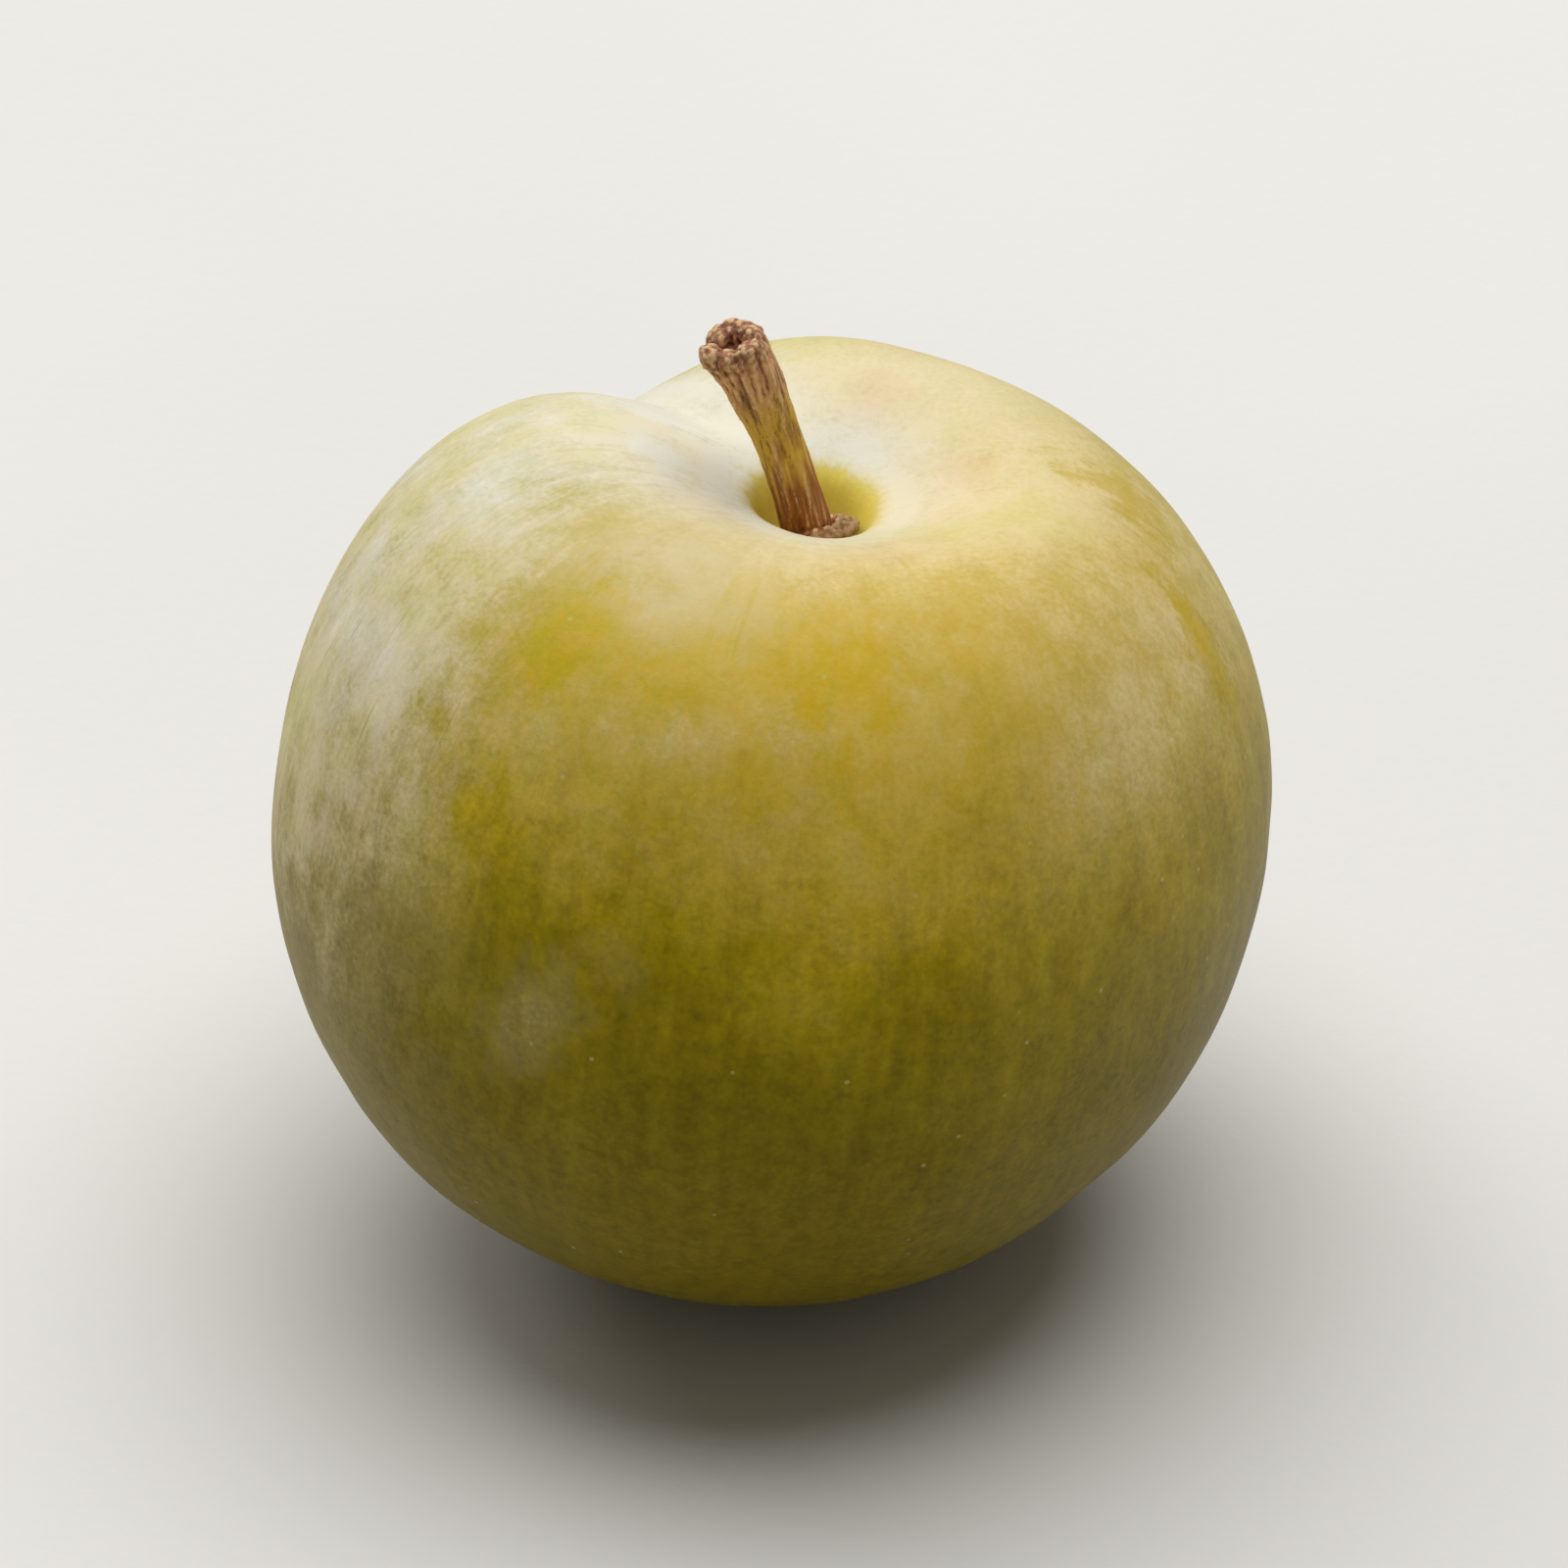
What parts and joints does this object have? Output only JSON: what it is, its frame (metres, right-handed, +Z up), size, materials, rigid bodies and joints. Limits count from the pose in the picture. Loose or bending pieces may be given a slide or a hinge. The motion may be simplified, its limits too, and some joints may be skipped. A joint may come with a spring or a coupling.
{
  "type": "greengage plum",
  "caption": "Whole ripe greengage plum as picked: round bloomed green-gold fruit with a seam, a sunken crown and its short woody stalk, resting on a small flat spot.",
  "frame": {"origin": "middle of the small flat spot that the fruit rests on, beside its blossom end", "axes": "+Z up towards the stalk, -Y the side that faced the viewer in the picture, +X to the viewer's right; the seam runs down the back on the left, 125 degrees anticlockwise from +X"},
  "size_m": [0.0447, 0.0454, 0.0466],
  "materials": {
    "bloomed_skin": "waxy matt plum skin: green-gold with a pale bloom that is thickest on the shoulders, in the seam and round the pit, rubbed through to darker olive and gold in soft patches",
    "stalk_bark": "rough dry bark with lengthwise ridges: red-brown with tan ridges at the broken tip, olive-ochre in the middle, red-brown at the corky collar"
  },
  "bodies": {
    "root": {"fruit": "bloomed_skin", "stalk": "stalk_bark"}
  },
  "joints": []
}
